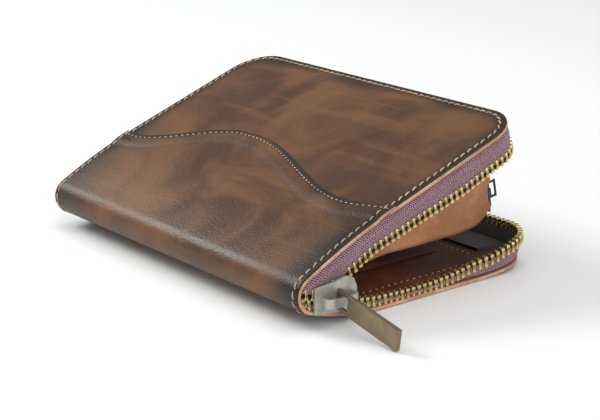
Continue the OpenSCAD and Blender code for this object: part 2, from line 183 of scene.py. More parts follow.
def leather_sheet(name, grid, thick, finishes, bulge=0.13, round_off=0.28):
    """A sheet from a grid of (place, outward normal, edge gap, pattern place, seam gap): grain side,
    flesh side and a rounded cut edge, with the gaps kept as attributes for its finish."""
    rows, cols, edge_band = len(grid), len(grid[0]), 0.9
    places, gaps, seams, spots, faces, finish_of = [], [], [], [], [], []
    for inner in (False, True):
        for row in grid:
            for p, n, gap, uv, seam in row:
                worn = round_off * max(0.0, 1 - gap / edge_band) ** 2
                places.append(p - n * ((thick - worn) if inner else worn))
                gaps.append(gap)
                seams.append(seam)
                spots.append(uv)
    ring = [(0, j) for j in range(cols)] + [(i, cols - 1) for i in range(1, rows)]
    ring += [(rows - 1, j) for j in range(cols - 2, -1, -1)] + [(i, 0) for i in range(rows - 2, 0, -1)]
    layers = 4
    first_edge = len(places)
    for k in range(1, layers):
        for i, j in ring:
            back = grid[min(max(i, 1), rows - 2)][min(max(j, 1), cols - 2)]
            p, n, gap, uv, seam = grid[i][j]
            out = p - back[0]
            out = (out - n * out.dot(n)).normalized()
            t = k / layers
            outer, inner = places[i * cols + j], places[rows * cols + i * cols + j]
            places.append(outer.lerp(inner, t) + out * bulge * math.sin(math.pi * t))
            gaps.append(0.0)
            seams.append(seam)
            spots.append(uv)
    for i in range(rows - 1):
        for j in range(cols - 1):
            a, b = i * cols + j, (i + 1) * cols + j
            faces.append((a, a + 1, b + 1, b))
            faces.append(tuple(rows * cols + v for v in (a, b, b + 1, a + 1)))
            finish_of += [0, 2]
    count = len(ring)
    for k in range(layers):
        for m in range(count):
            pair = [m, (m + 1) % count]
            quad = []
            for level_k, order in ((k, pair), (k + 1, pair[::-1])):
                for q in order:
                    i, j = ring[q]
                    if level_k in (0, layers):
                        quad.append((rows * cols if level_k else 0) + i * cols + j)
                    else:
                        quad.append(first_edge + (level_k - 1) * count + q)
            faces.append((quad[1], quad[0], quad[3], quad[2]))
            finish_of.append(1)
    mesh = bpy.data.meshes.new(name)
    mesh.from_pydata([at(*p) for p in places], [], faces)
    mesh.polygons.foreach_set("material_index", finish_of)
    for label, values in (("gap", gaps), ("seam", seams)):
        mesh.attributes.new(label, "FLOAT", "POINT").data.foreach_set("value", values)
    layer = mesh.uv_layers.new(name="skin")
    for loop in mesh.loops:
        layer.data[loop.index].uv = spots[loop.vertex_index]
    return new_piece(name, mesh, finishes)


def srgb(r, g, b):
    return tuple((c / 255 / 12.92) if c < 11 else ((c / 255 + 0.055) / 1.055) ** 2.4 for c in (r, g, b)) + (1,)


def node(tree, kind, sockets=None, **settings):
    """Adds a node; sockets takes links or plain values by name or number."""
    made = tree.nodes.new(kind)
    for key, value in settings.items():
        setattr(made, key, value)
    for key, value in (sockets or {}).items():
        socket = made.inputs[key]
        if isinstance(value, bpy.types.NodeSocket):
            tree.links.new(value, socket)
        else:
            socket.default_value = value
    return made


def sums(tree, operation, a, b=0.0):
    return node(tree, "ShaderNodeMath", {0: a, 1: b}, operation=operation).outputs[0]


def times(tree, a, b):
    return sums(tree, "MULTIPLY", a, b)


def fade(tree, value, low, high, start=0.0, end=1.0):
    spread = {"Value": value, "From Min": low, "From Max": high, "To Min": start, "To Max": end}
    return node(tree, "ShaderNodeMapRange", spread, interpolation_type="SMOOTHSTEP").outputs[0]


def blend_colour(tree, amount, a, b):
    return node(tree, "ShaderNodeMix", {0: amount, 6: a, 7: b}, data_type="RGBA").outputs[2]


def overlaid(tree, colour, mask, amount, shade):
    """A shade laid over a colour by a share of a mask."""
    return blend_colour(tree, times(tree, mask, amount), colour, shade)


def speckle(tree, place, scale, detail=4.0, rough=0.55, warp=0.0):
    settings = {"Vector": place, "Scale": scale, "Detail": detail, "Roughness": rough, "Distortion": warp}
    return node(tree, "ShaderNodeTexNoise", settings).outputs[0]


def object_place(tree):
    return node(tree, "ShaderNodeTexCoord").outputs["Object"]


def effect_group(name, inputs, outputs):
    """A shader node group with its named sockets; inputs are (name, kind, value)."""
    group = bpy.data.node_groups.new(name, "ShaderNodeTree")
    for label, kind, value in inputs:
        socket = group.interface.new_socket(label, in_out="INPUT", socket_type="NodeSocket" + kind)
        if value is not None:
            socket.default_value = value
    for label, kind in outputs:
        group.interface.new_socket(label, in_out="OUTPUT", socket_type="NodeSocket" + kind)
    return group, group.nodes.new("NodeGroupInput"), group.nodes.new("NodeGroupOutput")


def finish_material(name, roughness=0.5, **plain):
    """A material with its Principled shader; plain values go straight on its sockets."""
    material = bpy.data.materials.new(name)
    material.use_nodes = True
    shader = material.node_tree.nodes["Principled BSDF"]
    shader.inputs["Roughness"].default_value = roughness
    for key, value in plain.items():
        shader.inputs[key.replace("_", " ")].default_value = value
    return material, material.node_tree, shader


def coat(tree, shader, colour, height, strength, distance=0.0002):
    """Puts a colour on a shader, and a height through a bump."""
    tree.links.new(colour, shader.inputs["Base Color"])
    bump = node(tree, "ShaderNodeBump", {"Strength": strength, "Distance": distance, "Height": height})
    tree.links.new(bump.outputs[0], shader.inputs["Normal"])


# Grain: fine pores and short creases, large soft patches, and long thin scratches.
grain, given, told = effect_group(
    "leather_grain",
    [("Place", "Vector", None), ("Pores", "Float", 90.0), ("Creases", "Float", 0.4)],
    [("Height", "Float"), ("Patches", "Float"), ("Streaks", "Float"), ("Scratches", "Float")])
place = given.outputs["Place"]
pores = node(grain, "ShaderNodeTexVoronoi", {"Vector": place, "Scale": given.outputs["Pores"]}, feature="F1")
pore = fade(grain, pores.outputs["Distance"], 0.05, 0.55)
crease = times(grain, speckle(grain, place, 9.0, 7.0, 0.62, 0.6), given.outputs["Creases"])
height = sums(grain, "ADD", times(grain, pore, 0.5), crease)
tiny = times(grain, speckle(grain, place, 160.0, 2.0, 0.6), 0.35)
grain.links.new(sums(grain, "ADD", height, tiny), told.inputs["Height"])
patch = speckle(grain, place, 2.6, 5.0, 0.58, 0.8)
grain.links.new(fade(grain, patch, 0.36, 0.66), told.inputs["Patches"])
for tilt, stretch, low, high, out in ((0.5, (1.2, 9.0, 1.0), 0.5, 0.72, "Streaks"),
                                      (-0.75, (1.0, 70.0, 1.0), 0.66, 0.72, "Scratches")):
    lay = node(grain, "ShaderNodeMapping", {"Vector": place, "Rotation": (0, 0, tilt), "Scale": stretch})
    grain.links.new(fade(grain, speckle(grain, lay.outputs[0], 1.4, 3.0, 0.5), low, high), told.inputs[out])

# Burnish: darkening that creeps in from a cut edge by an uneven width.
burnish, given, told = effect_group(
    "edge_burnish",
    [("Place", "Vector", None), ("Gap", "Float", 50.0), ("Narrow", "Float", 2.0), ("Wide", "Float", 10.0)],
    [("Mask", "Float")])
place = given.outputs["Place"]
drift = fade(burnish, speckle(burnish, place, 2.2, 2.0, 0.5), 0.38, 0.66)
widths = {"Value": drift, "To Min": given.outputs["Narrow"], "To Max": given.outputs["Wide"]}
span = node(burnish, "ShaderNodeMapRange", widths)
fuzz = times(burnish, sums(burnish, "SUBTRACT", speckle(burnish, place, 14.0, 4.0), 0.5), 3.0)
ratio = sums(burnish, "DIVIDE", sums(burnish, "ADD", given.outputs["Gap"], fuzz), span.outputs[0])
burnish.links.new(fade(burnish, ratio, 0.15, 1.25, 1.0, 0.0), told.inputs["Mask"])

# The grain side: light streaks, a pressed line behind the wavy seam, and dark ends and edges.
outer_leather, tree, shader = finish_material("outer_leather", 0.42, Specular_IOR_Level=0.3)
skin = node(tree, "ShaderNodeUVMap", uv_map="skin").outputs[0]
gap = node(tree, "ShaderNodeAttribute", attribute_name="gap").outputs["Fac"]
seam = node(tree, "ShaderNodeAttribute", attribute_name="seam").outputs["Fac"]
marks = node(tree, "ShaderNodeGroup", {"Place": skin, "Pores": 95.0, "Creases": 0.5}, node_tree=grain).outputs
edge = node(tree, "ShaderNodeGroup", {"Place": skin, "Gap": gap, "Narrow": 3.6, "Wide": 12.0}, node_tree=burnish)
edge = edge.outputs["Mask"]
behind = times(tree, fade(tree, seam, -8.0, -5.0), fade(tree, seam, -4.2, -1.5, 1.0, 0.0))
spot = node(tree, "ShaderNodeSeparateXYZ", {0: skin}).outputs
ends = fade(tree, sums(tree, "ABSOLUTE", spot[0]), 0.46, 0.72)
ends = times(tree, ends, fade(tree, spot[1], 0.02, 0.5, 1.0, 0.25))
colour = blend_colour(tree, marks["Patches"], srgb(76, 47, 27), srgb(120, 80, 49))
for mask, amount, shade in (
        (marks["Streaks"], 0.4, (136, 94, 62)), (speckle(tree, skin, 40.0, 3.0), 0.25, (70, 44, 32)),
        (behind, 0.35, (62, 42, 34)), (ends, 0.8, (38, 33, 27)), (edge, 0.93, (30, 27, 22)),
        (marks["Scratches"], 0.22, (150, 112, 84))):
    colour = overlaid(tree, colour, mask, amount, srgb(*shade))
gloss = sums(tree, "ADD", times(tree, marks["Patches"], 0.1), 0.38)
tree.links.new(sums(tree, "SUBTRACT", gloss, times(tree, edge, 0.06)), shader.inputs["Roughness"])
coat(tree, shader, colour, marks["Height"], 0.35, 0.0003)

raw_edge, tree, shader = finish_material("raw_leather_edge", 0.6)
place = object_place(tree)
fibres = speckle(tree, place, 900.0, 5.0, 0.7)
stain = fade(tree, speckle(tree, place, 90.0, 3.0), 0.4, 0.62)
colour = blend_colour(tree, stain, srgb(184, 138, 104), srgb(214, 172, 138))
colour = overlaid(tree, colour, fade(tree, fibres, 0.42, 0.68), 0.5, srgb(146, 104, 78))
coat(tree, shader, colour, fibres, 0.5)

flesh_side, tree, shader = finish_material("flesh_side", 0.85)
nap = speckle(tree, object_place(tree), 700.0, 4.0, 0.7)
coat(tree, shader, blend_colour(tree, nap, srgb(112, 74, 52), srgb(150, 106, 78)), nap, 0.4)
outer_finishes = (outer_leather, raw_edge, flesh_side)

grid = []
for y, width in reversed(corner_rows(body_depth, bottom_seam)):
    row = []
    for x in across(width):
        p, n = bottom_skin(x, y)
        run = -nose_length - (y - sag_y)
        row.append((p, n, edge_gap(x, y, body_depth), (x * 0.01, run * 0.01), 60.0))
    grid.append(row)
bottom_cover = leather_sheet("bottom_cover", grid, leather, outer_finishes)
settle(bottom_cover, "root", "outer_leather", "bottom_panel")

# ---- Spine and yoke --------------------------------------------------------------------
# One piece of the same leather bends round the spine and runs up the top cover to a
# wavy edge, skived thin and laid over the top panel.
bow_end = 36
bow = math.tan(top_lean - open_angle) / (2 * bow_end)
bow_drop = bow * bow_end ** 2
cover_depth = body_depth - 3.6
cover_y = nose_y - nose_r * math.sin(top_lean) - bow_drop * math.sin(open_angle)
cover_z = nose_z + nose_r * math.cos(top_lean) + bow_drop * math.cos(open_angle)


def cover_drop(u):
    return bow * (bow_end - u) ** 2 if u < bow_end else 0.0


def on_cover(x, u, depth):
    """A place on the top cover: u along it from the spine, depth in from its outside."""
    s, c = math.sin(open_angle), math.cos(open_angle)
    return Vector((x, cover_y + u * c + depth * s, cover_z + u * s - depth * c))


def cover_skin(x, u):
    rise = 2 * bow * (bow_end - u) if u < bow_end else 0.0
    s, c = math.sin(open_angle), math.cos(open_angle)
    n = Vector((0, -rise * c - s, -rise * s + c)).normalized()
    return on_cover(x, u, cover_drop(u)), n


def skin_at(x, run):
    """The outside of the wallet; run goes along the leather from the top bend, below 0 round the spine."""
    if run >= 0:
        return cover_skin(x, run)
    if run > -nose_length:
        phi = math.pi / 2 + top_lean - run / nose_r
        n = Vector((0, math.cos(phi), math.sin(phi)))
        return Vector((x, nose_y, nose_z)) + n * nose_r, n
    return bottom_skin(x, sag_y - run - nose_length)


def seam_line(x):
    return 30 + 18.5 * smooth((x + 66) / 46) - 16 * smooth((x + 14) / 66) + 4 * smooth((x - 52) / 23)


def seam_gap(x, u):
    slope = seam_line(x + 0.5) - seam_line(x - 0.5)
    return (u - seam_line(x)) / math.hypot(1, slope)


def lap(to_seam):
    """How far the yoke stands up where it lies over the top panel."""
    return 0.5 * smooth((to_seam + 6.5) / 3.5)


yoke_edge = 2.0
flat_rows, bend_rows, yoke_rows = 16, 22, 40
first = -nose_length - (bottom_seam - sag_y)
runs = [first + (bottom_seam - sag_y) * i / flat_rows for i in range(flat_rows)]
runs += [-nose_length * (1 - i / bend_rows) for i in range(bend_rows)]
grid = []
for k in range(len(runs) + yoke_rows + 1):
    row = []
    for x in across(half_length):
        last = seam_line(x) + yoke_edge
        share = (k - len(runs)) / yoke_rows
        run = runs[k] if k < len(runs) else last * (share + 0.35 * share * (1 - share))
        p, n = skin_at(x, run)
        to_seam = seam_gap(x, run) if run > 0 else -60.0
        p = p + n * lap(to_seam) if run > 0 else p
        gap_here = min(half_length - abs(x), 2.6 * max(0.0, yoke_edge - to_seam))
        row.append((p, n, gap_here, (x * 0.01, run * 0.01), to_seam))
    grid.append(row)
spine_leather = leather_sheet("spine_leather_piece", grid, leather, outer_finishes)
spine_flex = {"start": at(0, 0, 11), "end": at(0, 0, 19)}
settle(spine_leather, "top_cover", "outer_leather", "spine_leather", "top_yoke", flex=spine_flex)

# ---- Top panel -------------------------------------------------------------------------
# The rest of the top cover is a second piece of the leather. Its edge on the spine side
# is tucked under the yoke and sewn there.
grid = []
panel_start, straight_end = 30, cover_depth - corner
for y, width in corner_rows(cover_depth, panel_start):
    row = []
    for x in across(width):
        first = seam_line(x) + yoke_edge - 2.5
        u = y
        if y <= straight_end - 0.01:
            u = first + (straight_end - first) * (y - panel_start) / (straight_end - panel_start)
        p, n = cover_skin(x, u)
        row.append((p - n * 0.03, n, edge_gap(x, u, cover_depth), (x * 0.01, u * 0.01), 40.0))
    grid.append(row)
top_panel = leather_sheet("top_panel_piece", grid, leather, outer_finishes)
settle(top_panel, "top_cover", "outer_leather", "top_panel")

# ---- Stitching -------------------------------------------------------------------------
# Light tan waxed thread, sewn through awl holes: a slanted saddle stitch round both
# covers, and finer stitches along the wavy edge of the yoke.
row_tree = bpy.data.node_groups.new("pieces_in_a_row", "GeometryNodeTree")
for label, kind, value in (("Path", "Geometry", None), ("Piece", "Object", None), ("Spacing", "Float", 0.003),
                           ("Slant", "Float", 0.0), ("Looseness", "Float", 0.0), ("Seed", "Int", 0),
                           ("Finish", "Material", None)):
    socket = row_tree.interface.new_socket(label, in_out="INPUT", socket_type="NodeSocket" + kind)
    if value is not None:
        socket.default_value = value
row_tree.interface.new_socket("Row", in_out="OUTPUT", socket_type="NodeSocketGeometry")
given, told = row_tree.nodes.new("NodeGroupInput"), row_tree.nodes.new("NodeGroupOutput")
line = node(row_tree, "GeometryNodeMeshToCurve", {"Mesh": given.outputs["Path"]})
spaced = node(row_tree, "GeometryNodeResampleCurve", {"Curve": line.outputs[0], "Length": given.outputs["Spacing"]},
              mode="LENGTH")
upward = node(row_tree, "GeometryNodeInputNamedAttribute", {"Name": "up"}, data_type="FLOAT_VECTOR")
along = node(row_tree, "GeometryNodeInputTangent")
stance = node(row_tree, "FunctionNodeAxesToRotation",
              {"Primary Axis": upward.outputs["Attribute"], "Secondary Axis": along.outputs[0]},
              primary_axis="Z", secondary_axis="Y")
wobble = []
for extra in (0, 1):
    chance = row_tree.nodes.new("FunctionNodeRandomValue")
    chance.data_type = "FLOAT"
    low = times(row_tree, given.outputs["Looseness"], -1.0)
    row_tree.links.new(low, chance.inputs[2])
    row_tree.links.new(given.outputs["Looseness"], chance.inputs[3])
    row_tree.links.new(sums(row_tree, "ADD", given.outputs["Seed"], float(extra)), chance.inputs["Seed"])
    wobble.append(chance.outputs[1])
slanted = sums(row_tree, "ADD", given.outputs["Slant"], wobble[0])
turned = node(row_tree, "ShaderNodeCombineXYZ", {0: wobble[1], 2: slanted})
spin = node(row_tree, "FunctionNodeEulerToRotation", {0: turned.outputs[0]})
facing = node(row_tree, "FunctionNodeRotateRotation", {"Rotation": stance.outputs[0], "Rotate By": spin.outputs[0]},
              rotation_space="LOCAL")
pattern = node(row_tree, "GeometryNodeObjectInfo", {"Object": given.outputs["Piece"]}, transform_space="ORIGINAL")
copies = node(row_tree, "GeometryNodeInstanceOnPoints",
              {"Points": spaced.outputs[0], "Instance": pattern.outputs["Geometry"], "Rotation": facing.outputs[0]})
real = node(row_tree, "GeometryNodeRealizeInstances", {"Geometry": copies.outputs[0]})
finished = node(row_tree, "GeometryNodeSetMaterial", {"Geometry": real.outputs[0], "Material": given.outputs["Finish"]})
row_tree.links.new(finished.outputs[0], told.inputs[0])


def row_of(name, path, piece, spacing, finish, slant=0.0, looseness=0.0, seed=1):
    """Copies of a piece set along a path of (place, up) in millimetres, as one mesh."""
    mesh = bpy.data.meshes.new(name)
    mesh.from_pydata([at(*p) for p, _ in path], [(i, i + 1) for i in range(len(path) - 1)], [])
    mesh.attributes.new("up", "FLOAT_VECTOR", "POINT").data.foreach_set("vector", [c for _, n in path for c in n])
    holder = bpy.data.objects.new(name + "_path", mesh)
    scene.collection.objects.link(holder)
    modifier = holder.modifiers.new("row", "NODES")
    modifier.node_group = row_tree
    sockets = {item.name: item.identifier for item in row_tree.interface.items_tree if item.in_out == "INPUT"}
    for label, value in (("Piece", piece), ("Spacing", spacing * 0.001), ("Slant", slant), ("Looseness", looseness),
                         ("Seed", seed), ("Finish", finish)):
        modifier[sockets[label]] = value
    bpy.context.view_layer.update()
    evaluated = holder.evaluated_get(bpy.context.evaluated_depsgraph_get())
    result = bpy.data.meshes.new_from_object(evaluated)
    result.name = name
    holder.modifiers.remove(modifier)
    bpy.data.objects.remove(holder)
    return new_piece(name, result, [])


def tube_faces(rings, count):
    """Faces of a tube of rings with count places each, closed at both ends."""
    faces = [(r * count + i, r * count + (i + 1) % count, (r + 1) * count + (i + 1) % count, (r + 1) * count + i)
             for r in range(rings - 1) for i in range(count)]
    return faces + [tuple(reversed(range(count))), tuple((rings - 1) * count + i for i in range(count))]


def ringed(name, rings):
    """A closed pattern piece from rings of places in millimetres, used for copies and then removed."""
    mesh = bpy.data.meshes.new(name)
    mesh.from_pydata([Vector(p) * 0.001 for ring in rings for p in ring], [], tube_faces(len(rings), len(rings[0])))
    piece = bpy.data.objects.new(name, mesh)
    scene.collection.objects.link(piece)
    return piece


def outline(inset, depth, first=0.0, last=0.0, step=1.5):
    """Places round a cover at an inset from its edge, slider side to far side, with the way out."""
    side, r = depth - corner, corner - inset
    long_side = 2 * (half_length - corner)
    quarter = [i / corner_steps for i in range(corner_steps + 1)]
    count = round((side - first) / step)
    spots = [((half_length - inset, first + (side - first) * i / count), (1, 0)) for i in range(count)]
    spots += [((half_length - corner + r * math.cos(a), side + r * math.sin(a)), (math.cos(a), math.sin(a)))
              for a in [math.pi / 2 * t for t in quarter]]
    count = round(long_side / step)
    spots += [((half_length - corner - long_side * i / count, side + r), (0, 1)) for i in range(1, count)]
    spots += [((-half_length + corner + r * math.cos(a), side + r * math.sin(a)), (math.cos(a), math.sin(a)))
              for a in [math.pi / 2 * (1 + t) for t in quarter]]
    count = round((side - last) / step)
    spots += [((-half_length + inset, side + (last - side) * i / count), (-1, 0)) for i in range(1, count + 1)]
    return spots


def stitch_piece(name, length, width, proud):
    """One stitch: a round thread that rises out of its hole and goes back in."""
    rings = []
    for k in range(9):
        t = k / 8
        y, lift = (t - 0.5) * length, proud * math.sin(math.pi * t) ** 0.6 - 0.18
        thick = width * (0.75 + 0.25 * math.sin(math.pi * t))
        rings.append([(thick * 0.5 * math.cos(a), y, lift + thick * 0.42 * math.sin(a))
                      for a in [-2 * math.pi * i / 6 for i in range(6)]])
    return ringed(name, rings)


def mottled(name, roughness, scale, dark, light, detail=4.0):
    """A plain material whose colour wanders between two shades."""
    finish, tree, shader = finish_material(name, roughness)
    colour = blend_colour(tree, speckle(tree, object_place(tree), scale, detail), dark, light)
    tree.links.new(colour, shader.inputs["Base Color"])
    return finish


tan_thread, tree, shader = finish_material("tan_thread", 0.62)
place = object_place(tree)
twist = speckle(tree, place, 1600.0, 3.0, 0.7)
soiled = fade(tree, speckle(tree, place, 120.0, 3.0), 0.35, 0.65)
colour = blend_colour(tree, soiled, srgb(176, 136, 102), srgb(220, 184, 148))
coat(tree, shader, overlaid(tree, colour, twist, 0.35, srgb(150, 112, 82)), twist, 0.6)
# The awl holes are near-black caps on the leather: painted shade for the hollow of each hole.
hole_shade = mottled("awl_hole", 0.9, 800.0, srgb(16, 12, 10), srgb(30, 24, 20))

eighths = [math.pi * i / 4 for i in range(8)]
awl_hole = ringed("awl_hole", [[(r * math.cos(a), 1.3 * r * math.sin(a), z) for a in eighths]
                               for r, z in ((0.34, -0.2), (0.36, 0.02), (0.2, 0.035))])
border_stitch = stitch_piece("border_stitch", 2.5, 0.6, 0.34)
seam_stitch = stitch_piece("seam_stitch", 1.35, 0.42, 0.2)
stitch_inset = 2.3


def sewn(name, path, stitch, pitch, slant, body, nodes=(), flex=None):
    """A stitched line: the thread, and near-black caps between the stitches, painted shade for the awl holes."""
    thread = row_of(name, path, stitch, pitch, tan_thread, slant, 0.08, seed=3)
    length = sum((path[i + 1][0] - path[i][0]).length for i in range(len(path) - 1))
    steps = round(length / pitch)
    half = length / steps / 2
    shifted, run = [], 0.0
    for (a, n), (b, m) in zip(path, path[1:]):
        piece_length = (b - a).length
        if run + piece_length > half and run < length - half:
            shifted.append((a.lerp(b, max(0.0, (half - run) / piece_length)) if run < half else a, n))
        run += piece_length
    hole_shades = row_of(name + "_holes", shifted, awl_hole, pitch, hole_shade, slant, 0.05, seed=5)
    settle(thread, body, "thread", *nodes, flex=flex)
    settle(hole_shades, body, "thread", flex=flex)


border_pitch, border_slant = 3.05, 0.2
path = []
for (x, u), _ in outline(stitch_inset, cover_depth, -nose_length, -nose_length, 1.2):
    over = seam_gap(x, u)
    p, n = skin_at(x, u)
    path.append((p + n * (lap(over) if -8 < over < yoke_edge and u > 10 else 0), n))
sewn("top_stitches", path, border_stitch, border_pitch, border_slant, "top_cover", ["top_thread"], spine_flex)
path = []
for (x, y), _ in outline(stitch_inset, body_depth, sag_y, sag_y, 1.2):
    p, n = bottom_skin(x, y)
    path.append((p - 0.4 * n, n))
sewn("bottom_stitches", path, border_stitch, border_pitch, border_slant, "root", ["bottom_thread"])
path = []
for i in range(116):
    x = -half_length + 1.5 + (2 * half_length - 3) * i / 115
    p, n = cover_skin(x, seam_line(x))
    path.append((p + n * 0.5, n))
sewn("seam_stitches", path, seam_stitch, 2.3, 0.05, "top_cover", ["seam_thread"])

# ---- Boards, linings and inner panels --------------------------------------------------
# Each cover is stiffened with grey board and lined with thin black cloth, and a panel of
# softer brown leather is sewn over the lining. The lower panel is cut back in a curve.
lining_depth, panel_depth = 2.4, 3.55


def dress(name, finish):
    """Gives a CAD part that keeps its shape its finish."""
    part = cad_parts[name]
    part.data.materials.clear()
    part.data.materials.append(finish)


grey_board = mottled("grey_board", 0.9, 600.0, srgb(128, 118, 104), srgb(164, 154, 138))
dress("bottom_board", grey_board)
dress("top_board", grey_board)


def closed_up(mesh, thick=0.0):
    """Gives an open mesh its thickness, in millimetres, and turns all faces outward."""
    built = bmesh.new()
    built.from_mesh(mesh)
    if thick:
        bmesh.ops.solidify(built, geom=built.faces[:], thickness=thick * 0.001)
    bmesh.ops.recalc_face_normals(built, faces=built.faces[:])
    built.to_mesh(mesh)
    built.free()


def cloth_sheet(name, grid, thick, finish):
    """Thin cloth from a grid of (place, pattern place in mm), given its thickness below the grid."""
    rows, cols = len(grid), len(grid[0])
    mesh = bpy.data.meshes.new(name)
    mesh.from_pydata([at(*p) for row in grid for p, _ in row], [],
                     [(i * cols + j, i * cols + j + 1, (i + 1) * cols + j + 1, (i + 1) * cols + j)
                      for i in range(rows - 1) for j in range(cols - 1)])
    layer = mesh.uv_layers.new(name="weave")
    spots = [uv for row in grid for _, uv in row]
    for loop in mesh.loops:
        layer.data[loop.index].uv = (spots[loop.vertex_index][0] * 0.01, spots[loop.vertex_index][1] * 0.01)
    closed_up(mesh, thick)
    return new_piece(name, mesh, [finish])


black_lining, tree, shader = finish_material("black_lining", 0.8, Sheen_Weight=0.15)
weave_uv = node(tree, "ShaderNodeUVMap", uv_map="weave").outputs[0]
ribs = node(tree, "ShaderNodeTexWave", {"Vector": weave_uv, "Scale": 60.0, "Distortion": 0.4},
            wave_type="BANDS", bands_direction="DIAGONAL").outputs["Fac"]
coat(tree, shader, blend_colour(tree, ribs, srgb(11, 10, 10), srgb(30, 28, 28)), ribs, 0.3)


def soft_leather(name, dark, light, dirt, creases=0.9, rough=0.55):
    """Unlined soft leather: finer grain, wandering creases and slight dirt."""
    finish, tree, shader = finish_material(name, rough, Specular_IOR_Level=0.3)
    scaled = node(tree, "ShaderNodeMapping", {"Vector": object_place(tree), "Scale": (10, 10, 10)}).outputs[0]
    marks = node(tree, "ShaderNodeGroup", {"Place": scaled, "Pores": 120.0, "Creases": creases}, node_tree=grain)
    marks = marks.outputs
    soiled = fade(tree, speckle(tree, scaled, 7.0, 6.0, 0.6, 1.0), 0.42, 0.6, 1.0, 0.0)
    colour = overlaid(tree, blend_colour(tree, marks["Patches"], dark, light), soiled, 0.3, dirt)
    folds = speckle(tree, scaled, 3.5, 5.0, 0.55, 1.5)
    relief = sums(tree, "ADD", times(tree, folds, 2.0), marks["Height"])
    coat(tree, shader, colour, relief, 0.5, 0.0006)
    return finish


inner_leather = soft_leather("inner_leather", srgb(82, 46, 28), srgb(118, 70, 44), srgb(54, 30, 20))
inner_finishes = (inner_leather, inner_leather, flesh_side)


def lower_layer(x, y, height):
    p, n = bottom_skin(x, y)
    return p - n * height, -n


panel_half, panel_foot, panel_rows = 67.9, 12, 61
grid = [[(lower_layer(x, y, lining_depth)[0], (x, y)) for x in across(min(width, panel_half), 30)]
        for y, width in corner_rows(body_depth - 4.6, 11, 3)]
lower_lining = cloth_sheet("lower_lining", grid, 0.25, black_lining)
settle(lower_lining, "root", "lining", "bottom_lining")

inner_corner = corner - 4.8
grid = []
for k in range(panel_rows + 1):
    row, share = [], k / panel_rows
    for x in across(panel_half, 90):
        front = 92 - 4.6 * smooth((abs(x) - 38) / 14) + 9 * smooth((abs(x) - 56.5) / 5)
        reach = abs(x) - (half_length - corner)
        if reach > 0:
            front = min(front, body_depth - corner + math.sqrt(max(0.0, inner_corner ** 2 - reach ** 2)))
        y = panel_foot + (front - panel_foot) * smooth(share) * 0.4 + (front - panel_foot) * share * 0.6
        p, n = lower_layer(x, y, panel_depth)
        row.append((p, n, min(panel_half - abs(x), front - y, y - panel_foot), (x * 0.01, y * 0.01), 40.0))
    grid.append(row)
lower_panel = leather_sheet("lower_inner_leather", grid, 0.9, inner_finishes, 0.08, 0.18)
settle(lower_panel, "root", "inner_leather", "lower_inner_panel")
panel_path = [lower_layer(x, y, panel_depth) for (x, y), _ in outline(8.2, body_depth - 8, 14, 14)]
sewn("lower_panel_stitches", panel_path, seam_stitch, 2.6, 0.1, "root")


def upper_layer(x, u, depth):
    p, n = cover_skin(x, u)
    return p - n * depth, -n


grid = [[(upper_layer(x, y, lining_depth)[0], (x, y)) for x in across(min(width, 69.9), 30)]
        for y, width in corner_rows(cover_depth - 2.6, 10, 3)]
upper_lining = cloth_sheet("upper_lining", grid, -0.25, black_lining)
settle(upper_lining, "top_cover", "lining", "top_lining")

grid = []
for y, width in reversed(corner_rows(cover_depth - 3, 11)):
    row = []
    for x in across(min(width, 69.5), 90):
        p, n = upper_layer(x, y, panel_depth)
        row.append((p, n, min(69.5 - abs(x), cover_depth - 3 - y, y - 11), (x * 0.01, y * 0.01), 40.0))
    grid.append(row)
upper_panel = leather_sheet("upper_inner_leather", grid, 0.9, inner_finishes, 0.08, 0.18)
settle(upper_panel, "top_cover", "inner_leather", "upper_inner_panel")

# ---- Card pockets ----------------------------------------------------------------------
# Three stepped strips of inner leather are sewn on each panel, one over the other, with
# their mouths toward the opening side. Cards slide in behind each strip.
pocket_half = 48
for k in (1, 2, 3):
    level = panel_depth + 0.02 + 0.65 * k
    for side, skin_of, first, body in (("lower", lower_layer, 24, "root"), ("upper", upper_layer, 22, "top_cover")):
        last = first + 54 - 13 * (k - 1)
        grid = []
        spots = [first + (last - first) * i / 30 for i in range(31)]
        for y in (spots if side == "lower" else reversed(spots)):
            row = []
            for i in range(61):
                x = -pocket_half + 2 * pocket_half * i / 60
                mouth = last - 2.2 * math.exp(-((x / 13) ** 2)) * (y - first) / (last - first)
                u = first + (mouth - first) * (y - first) / (last - first)
                p, n = skin_of(x, u, level)
                gap = min(pocket_half - abs(x), mouth - u, u - first + 0.5)
                row.append((p, n, gap, (x * 0.01, y * 0.01), 40.0))
            grid.append(row)
        strip = leather_sheet(side + "_pocket_strip_%d" % k, grid, 0.6, inner_finishes, 0.05, 0.12)
        settle(strip, body, "inner_leather", side + "_card_pocket_%d" % k)

# ---- Zip tapes -------------------------------------------------------------------------
# Woven plum tape, sewn in between leather and lining, stands off each cover to its row of
# teeth. Behind the slider both tapes run together round the inside of the spine.
row_inset, row_depth = 1.2, 9.8
lower_row = [(3, 9.3), (6, 8.2), (11.5, 8), (16.5, 5.3), (24, 4.6), (32, 3.5), (45, 3.0), (55, 3.1), (62, 3.7), (71, 5),
             (79, 6.3), (86, 8.2), (92, 10), (100, 10.6)]
meshed_row = [(3, 11.6), (6, 10.6), (11.5, 10.5), (16.5, 12.9), (25, 15.4), (30, 18.2)]


def looked_up(table, y):
    for (a, p), (b, q) in zip(table, table[1:]):
        if y <= b:
            return p + (q - p) * max(0.0, (y - a) / (b - a))
    return table[-1][1]


def inside_height(y):
    if y < nose_y - 1.4:
        return nose_z - math.sqrt(max(0.0, (nose_r - leather) ** 2 - (nose_y - y) ** 2))
    return bottom_height(y) + leather


